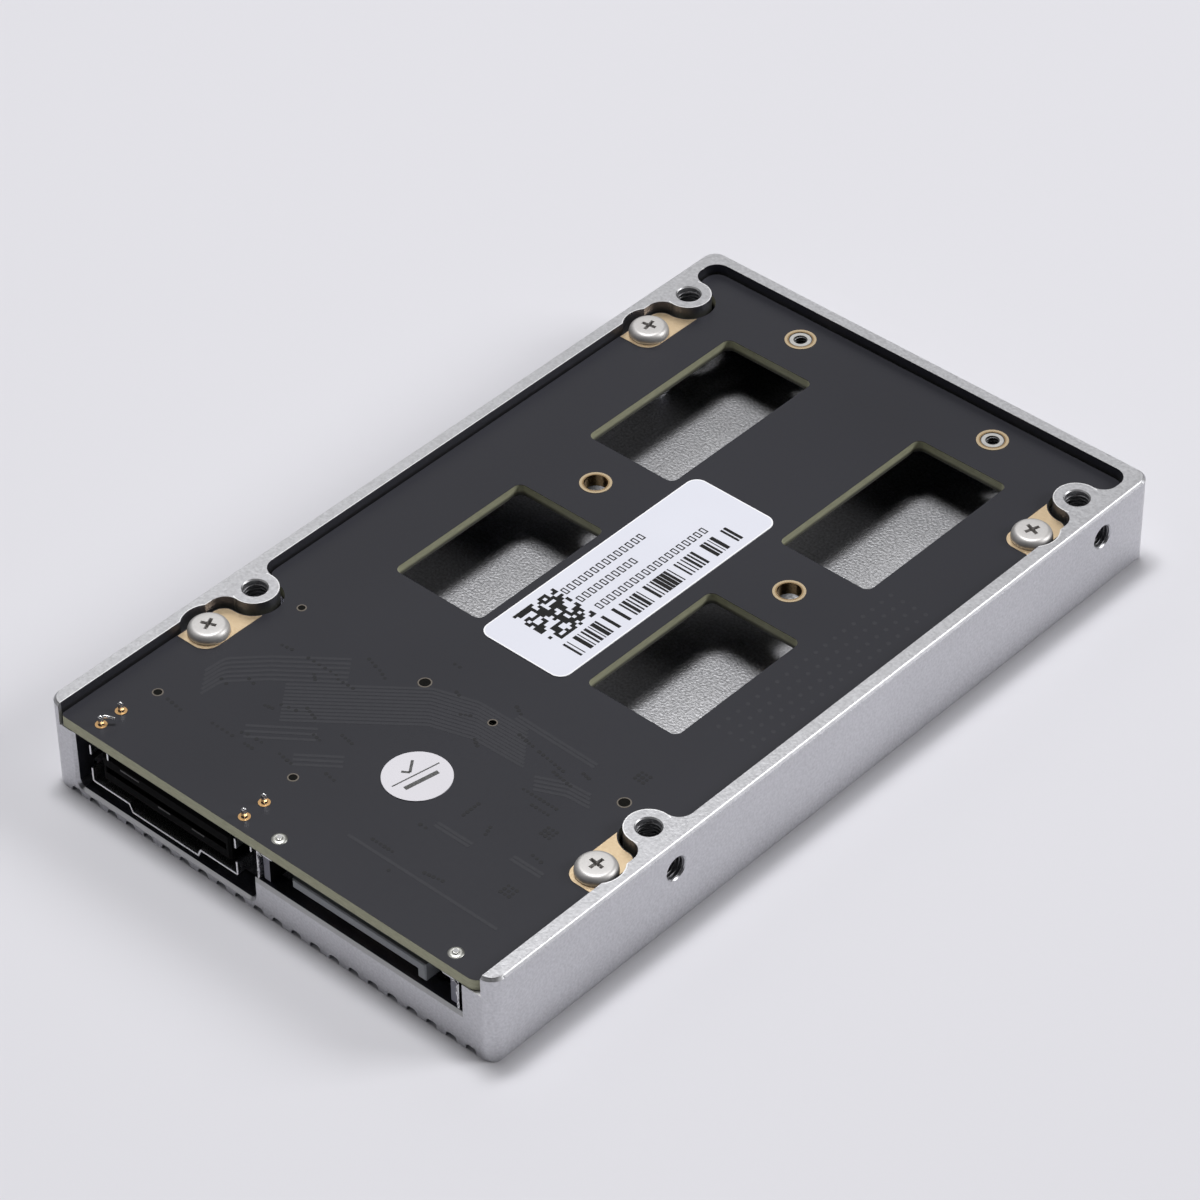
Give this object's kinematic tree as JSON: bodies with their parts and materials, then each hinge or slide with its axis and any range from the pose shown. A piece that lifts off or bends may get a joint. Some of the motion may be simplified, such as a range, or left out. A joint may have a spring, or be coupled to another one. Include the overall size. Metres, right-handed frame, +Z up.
{
  "type": "drive bay module adapter",
  "caption": "Circuit board with four windows in a ribbed aluminium drive-bay tray, with a data socket and a power plug on one short side.",
  "frame": {"origin": "middle of the tray's outline, on the plane of the rib undersides that it rests on", "axes": "+Z up out of the open side of the tray, +Y from the connectors towards the far short side, +X to the right seen from the connectors"},
  "size_m": [0.0698, 0.1154, 0.0125],
  "materials": {
    "bead_blasted_aluminium": "bead blasted, clear anodised",
    "board_mask": "matte dark grey solder mask on laminate",
    "gold_plating": "flat gold plating",
    "screw_steel": "nickel plated",
    "standoff_steel": "tin plated",
    "shell_steel": "bright stamped sheet",
    "solder": "bright solder",
    "black_moulding": "fine matte",
    "grey_moulding": "fine matte",
    "label_film": "satin white film",
    "sticker_paper": "satin white",
    "choke_core": "pressed powder, matte",
    "chip_case": "moulded, matte"
  },
  "bodies": {
    "root": {"board_label": "label_film", "board_screw_far_left": "screw_steel", "board_screw_far_right": "screw_steel", "board_screw_near_left": "screw_steel", "board_screw_near_right": "screw_steel", "case_tray": "bead_blasted_aluminium", "check_sticker": "sticker_paper", "circuit_board": "board_mask", "clock_chip": "chip_case", "converter_chip_left": "chip_case", "converter_chip_right": "chip_case", "data_connector_core": "black_moulding", "data_connector_shell": "shell_steel", "ground_pad_far_left": "gold_plating", "ground_pad_far_right": "gold_plating", "ground_pad_near_left": "gold_plating", "ground_pad_near_right": "gold_plating", "module_socket_left": "black_moulding", "module_socket_right": "black_moulding", "plated_ring_far_left": "gold_plating", "plated_ring_far_right": "gold_plating", "plated_ring_mid_left": "gold_plating", "plated_ring_mid_right": "gold_plating", "power_choke_left": "choke_core", "power_choke_right": "choke_core", "power_plug_blade": "grey_moulding", "power_plug_body": "black_moulding", "power_plug_clip_left": "shell_steel", "power_plug_clip_right": "shell_steel", "standoff_left": "standoff_steel", "standoff_right": "standoff_steel"}
  },
  "joints": []
}
